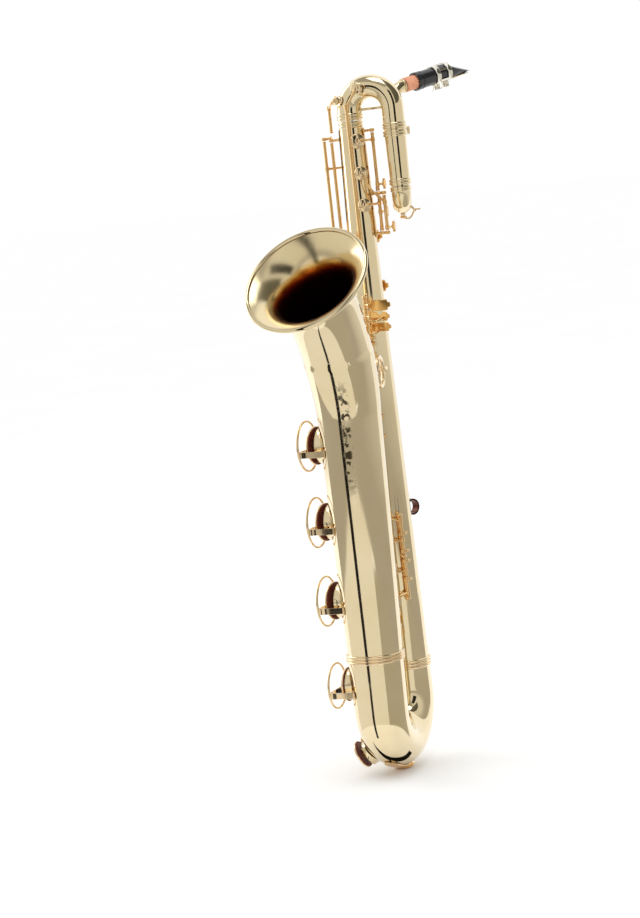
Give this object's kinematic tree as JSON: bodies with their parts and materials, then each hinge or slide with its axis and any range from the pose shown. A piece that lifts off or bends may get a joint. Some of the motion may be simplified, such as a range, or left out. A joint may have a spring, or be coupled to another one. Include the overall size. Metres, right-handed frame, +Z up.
{
  "type": "baritone saxophone",
  "caption": "Low-A baritone saxophone with looped crook, sprung keywork that presses and closes, swivelling neck and a sliding mouthpiece with reed and ligature.",
  "frame": {"origin": "centre of the strap ring on the back of the body tube, where the player's strap hook carries the instrument", "axes": "+Z up along the body tube, -Y towards the bell, +Y towards the player, +X towards the crook loop and neck (the player's left)"},
  "size_m": [0.2284, 0.4278, 0.9669],
  "materials": {
    "lacquered_tube": "clear lacquered brass, bright",
    "lacquered_keys": "deeper gold lacquered brass",
    "lacquered_fittings": "gold lacquered brass fittings",
    "mouthpiece_rubber": "polished black hard rubber",
    "cork": "waxed natural cork",
    "reed_cane": "fine straight cane grain",
    "ligature_metal": "pale plated metal",
    "screw_metal": "knurled gold screws",
    "pad_leather": "red-brown kid leather",
    "key_pearl": "mother-of-pearl touch inlay",
    "needle_steel": "blued spring steel and pivot rods",
    "black_felt": "dense black felt and roller",
    "bell_inside": "amber lacquer inside the bell"
  },
  "bodies": {
    "tubes": {"body_tube": "lacquered_tube", "bell": "lacquered_tube", "bottom_bow": "lacquered_tube", "body_ferrule": "lacquered_fittings", "bell_ferrule": "lacquered_fittings", "upper_bow": "lacquered_tube", "loop_tube": "lacquered_tube", "small_bow": "lacquered_tube", "neck_receiver": "lacquered_tube", "bow_guard": "lacquered_fittings", "bell_brace": "lacquered_fittings", "strap_ring": "lacquered_fittings", "thumb_hook": "lacquered_fittings", "lower_stack_posts": "lacquered_fittings", "upper_stack_posts": "lacquered_fittings", "side_key_posts": "lacquered_fittings", "palm_key_posts": "lacquered_fittings", "octave_posts": "lacquered_fittings", "bell_key_posts": "lacquered_fittings", "low_key_posts": "lacquered_fittings", "low_a_guard": "lacquered_fittings", "low_bb_guard": "lacquered_fittings", "low_b_guard": "lacquered_fittings", "low_csharp_guard": "lacquered_fittings"},
    "d_key": {"d_key": "lacquered_keys"},
    "e_key": {"e_key": "lacquered_keys"},
    "f_key": {"f_key": "lacquered_keys"},
    "fsharp_key": {"fsharp_key": "lacquered_keys"},
    "g_key": {"g_key": "lacquered_keys"},
    "a_key": {"a_key": "lacquered_keys"},
    "bis_key": {"bis_key": "lacquered_keys"},
    "b_key": {"b_key": "lacquered_keys"},
    "gsharp_touch": {"gsharp_touch": "lacquered_keys"},
    "gsharp_key": {"gsharp_key": "lacquered_keys"},
    "low_csharp_touch": {"low_csharp_touch": "lacquered_keys"},
    "low_csharp_key": {"low_csharp_key": "lacquered_keys"},
    "low_b_key": {"low_b_key": "lacquered_keys"},
    "low_bb_key": {"low_bb_key": "lacquered_keys"},
    "low_a_touch": {"low_a_touch": "lacquered_keys"},
    "low_a_key": {"low_a_key": "lacquered_keys"},
    "low_c_key": {"low_c_key": "lacquered_keys"},
    "low_eb_key": {"low_eb_key": "lacquered_keys"},
    "high_e_key": {"high_e_key": "lacquered_keys"},
    "side_c_key": {"side_c_key": "lacquered_keys"},
    "side_bb_key": {"side_bb_key": "lacquered_keys"},
    "palm_d_key": {"palm_d_key": "lacquered_keys"},
    "palm_eb_key": {"palm_eb_key": "lacquered_keys"},
    "palm_f_key": {"palm_f_key": "lacquered_keys"},
    "front_f_key": {"front_f_key": "lacquered_keys"},
    "octave_lever": {"octave_lever": "lacquered_keys"},
    "octave_vent_key": {"octave_vent_key": "lacquered_keys"},
    "water_key": {"water_key": "lacquered_keys"},
    "neck": {"neck": "lacquered_tube", "neck_cork": "cork"},
    "mouthpiece": {"mouthpiece": "mouthpiece_rubber", "reed": "reed_cane", "ligature": "ligature_metal"},
    "ligature_screw_back": {"ligature_screw_back": "screw_metal"},
    "ligature_screw_front": {"ligature_screw_front": "screw_metal"},
    "neck_screw": {"neck_screw": "screw_metal"}
  },
  "joints": [
    {"name": "d_key_hinge", "type": "hinge", "parent": "tubes", "child": "d_key", "pos_m": [0.02261, -0.06728, -0.316], "axis": [0, 0, 1], "range_deg": [-9, 0], "stiffness_Nm_per_rad": 0.02},
    {"name": "e_key_hinge", "type": "hinge", "parent": "tubes", "child": "e_key", "pos_m": [0.02261, -0.06728, -0.2895], "axis": [0, 0, 1], "range_deg": [-9, 0], "stiffness_Nm_per_rad": 0.02},
    {"name": "f_key_hinge", "type": "hinge", "parent": "tubes", "child": "f_key", "pos_m": [0.02261, -0.06728, -0.258], "axis": [0, 0, 1], "range_deg": [-9, 0], "stiffness_Nm_per_rad": 0.02},
    {"name": "fsharp_key_hinge", "type": "hinge", "parent": "tubes", "child": "fsharp_key", "pos_m": [0.02261, -0.06728, -0.232], "axis": [0, 0, 1], "range_deg": [-9, 0], "stiffness_Nm_per_rad": 0.02},
    {"name": "g_key_hinge", "type": "hinge", "parent": "tubes", "child": "g_key", "pos_m": [0.006, -0.06902, -0.0945], "axis": [0, 0, 1], "range_deg": [-9, 0], "stiffness_Nm_per_rad": 0.02},
    {"name": "a_key_hinge", "type": "hinge", "parent": "tubes", "child": "a_key", "pos_m": [0.006, -0.06902, -0.063], "axis": [0, 0, 1], "range_deg": [-9, 0], "stiffness_Nm_per_rad": 0.02},
    {"name": "bis_key_hinge", "type": "hinge", "parent": "tubes", "child": "bis_key", "pos_m": [0.006, -0.06902, 0.0225], "axis": [0, 0, 1], "range_deg": [-9, 0], "stiffness_Nm_per_rad": 0.02},
    {"name": "b_key_hinge", "type": "hinge", "parent": "tubes", "child": "b_key", "pos_m": [0.006, -0.06902, 0.04225], "axis": [0, 0, 1], "range_deg": [-9, 0], "stiffness_Nm_per_rad": 0.02},
    {"name": "gsharp_touch_hinge", "type": "hinge", "parent": "tubes", "child": "gsharp_touch", "pos_m": [0.012, -0.087, 0.08245], "axis": [0, 0, 1], "range_deg": [0, 8], "stiffness_Nm_per_rad": 0.02},
    {"name": "gsharp_key_hinge", "type": "hinge", "parent": "tubes", "child": "gsharp_key", "pos_m": [0.006, -0.06902, -0.132], "axis": [0, 0, 1], "range_deg": [0, 12], "stiffness_Nm_per_rad": 0.02},
    {"name": "low_csharp_touch_hinge", "type": "hinge", "parent": "tubes", "child": "low_csharp_touch", "pos_m": [0.012, -0.087, 0.06525], "axis": [0, 0, 1], "range_deg": [0, 8], "stiffness_Nm_per_rad": 0.02},
    {"name": "low_csharp_key_hinge", "type": "hinge", "parent": "tubes", "child": "low_csharp_key", "pos_m": [-0.02944, -0.0677, -0.415], "axis": [0, 0, 1], "range_deg": [-4, 0], "stiffness_Nm_per_rad": 0.02},
    {"name": "low_b_key_hinge", "type": "hinge", "parent": "tubes", "child": "low_b_key", "pos_m": [-0.02559, -0.11288, -0.131], "axis": [0, 0, 1], "range_deg": [0, 7], "stiffness_Nm_per_rad": 0.02},
    {"name": "low_bb_key_hinge", "type": "hinge", "parent": "tubes", "child": "low_bb_key", "pos_m": [-0.03355, -0.11805, -0.0845], "axis": [0, 0, 1], "range_deg": [0, 7], "stiffness_Nm_per_rad": 0.02},
    {"name": "low_a_touch_hinge", "type": "hinge", "parent": "tubes", "child": "low_a_touch", "pos_m": [-0.015, -0.004, 0.1], "axis": [0, 0, 1], "range_deg": [-7, 0], "stiffness_Nm_per_rad": 0.02},
    {"name": "low_a_key_hinge", "type": "hinge", "parent": "tubes", "child": "low_a_key", "pos_m": [-0.0405, -0.12453, -0.089], "axis": [0, 0, 1], "range_deg": [0, 7], "stiffness_Nm_per_rad": 0.02},
    {"name": "low_c_key_hinge", "type": "hinge", "parent": "tubes", "child": "low_c_key", "pos_m": [-0.02944, -0.0677, -0.444], "axis": [0, 0, 1], "range_deg": [0, 5], "stiffness_Nm_per_rad": 0.02},
    {"name": "low_eb_key_hinge", "type": "hinge", "parent": "tubes", "child": "low_eb_key", "pos_m": [-0.02944, -0.0677, -0.381], "axis": [0, 0, 1], "range_deg": [0, 7], "stiffness_Nm_per_rad": 0.02},
    {"name": "high_e_key_hinge", "type": "hinge", "parent": "tubes", "child": "high_e_key", "pos_m": [-0.043, -0.032, 0.057], "axis": [0, 0, 1], "range_deg": [0, 9], "stiffness_Nm_per_rad": 0.02},
    {"name": "side_c_key_hinge", "type": "hinge", "parent": "tubes", "child": "side_c_key", "pos_m": [-0.0355, -0.0203, -0.017], "axis": [0, 0, 1], "range_deg": [0, 9], "stiffness_Nm_per_rad": 0.02},
    {"name": "side_bb_key_hinge", "type": "hinge", "parent": "tubes", "child": "side_bb_key", "pos_m": [-0.032, -0.032, -0.0305], "axis": [0, 0, 1], "range_deg": [0, 9], "stiffness_Nm_per_rad": 0.02},
    {"name": "palm_d_key_hinge", "type": "hinge", "parent": "tubes", "child": "palm_d_key", "pos_m": [0.028, -0.03, 0.2025], "axis": [0, 0, 1], "range_deg": [0, 9], "stiffness_Nm_per_rad": 0.02},
    {"name": "palm_eb_key_hinge", "type": "hinge", "parent": "tubes", "child": "palm_eb_key", "pos_m": [0.0365, -0.032, 0.2025], "axis": [0, 0, 1], "range_deg": [0, 9], "stiffness_Nm_per_rad": 0.02},
    {"name": "palm_f_key_hinge", "type": "hinge", "parent": "tubes", "child": "palm_f_key", "pos_m": [0.028, -0.03, 0.2735], "axis": [0, 0, 1], "range_deg": [0, 9], "stiffness_Nm_per_rad": 0.02},
    {"name": "front_f_key_hinge", "type": "hinge", "parent": "tubes", "child": "front_f_key", "pos_m": [0.007, -0.065, 0.2625], "axis": [0, 0, 1], "range_deg": [-8, 0], "stiffness_Nm_per_rad": 0.02},
    {"name": "octave_lever_hinge", "type": "hinge", "parent": "tubes", "child": "octave_lever", "pos_m": [-0.032, -0.032, 0.2185], "axis": [0, 0, 1], "range_deg": [-6, 0], "stiffness_Nm_per_rad": 0.02},
    {"name": "octave_vent_key_hinge", "type": "hinge", "parent": "tubes", "child": "octave_vent_key", "pos_m": [-0.03, -0.034, 0.337], "axis": [0, 0, 1], "range_deg": [-8, 0], "stiffness_Nm_per_rad": 0.02},
    {"name": "water_key_hinge", "type": "hinge", "parent": "tubes", "child": "water_key", "pos_m": [0.07085, -0.00994, 0.2017], "axis": [-0.3672, 0.9302, 0], "range_deg": [-14, 0], "stiffness_Nm_per_rad": 0.01},
    {"name": "neck_swivel", "type": "hinge", "parent": "tubes", "child": "neck", "pos_m": [0.048, 0.003, 0.32], "axis": [0, 0, 1], "range_deg": [-30, 20]},
    {"name": "mouthpiece_slide", "type": "slide", "parent": "neck", "child": "mouthpiece", "axis": [0.537, 0.8269, 0.1668], "range_m": [-0.004, 0.008]},
    {"name": "ligature_screw_back_turn", "type": "hinge", "parent": "mouthpiece", "child": "ligature_screw_back", "pos_m": [0.0944, 0.07444, 0.36492], "axis": [-0.8387, 0.5446, 0], "range_deg": [-180, 180]},
    {"name": "ligature_screw_front_turn", "type": "hinge", "parent": "mouthpiece", "child": "ligature_screw_front", "pos_m": [0.10299, 0.08767, 0.36759], "axis": [-0.8387, 0.5446, 0], "range_deg": [-180, 180]},
    {"name": "neck_screw_turn", "type": "hinge", "parent": "tubes", "child": "neck_screw", "pos_m": [0.06488, 0.00982, 0.3115], "axis": [-0.3746, 0.9272, 0], "range_deg": [-180, 180]}
  ],
  "couplings": [
    {"joint": "fsharp_key_hinge", "follows": "f_key_hinge", "ratio": 1},
    {"joint": "gsharp_key_hinge", "follows": "gsharp_touch_hinge", "ratio": 1.5},
    {"joint": "low_csharp_key_hinge", "follows": "low_csharp_touch_hinge", "ratio": -0.5},
    {"joint": "low_a_key_hinge", "follows": "low_a_touch_hinge", "ratio": -1},
    {"joint": "octave_vent_key_hinge", "follows": "octave_lever_hinge", "ratio": 1.3}
  ]
}
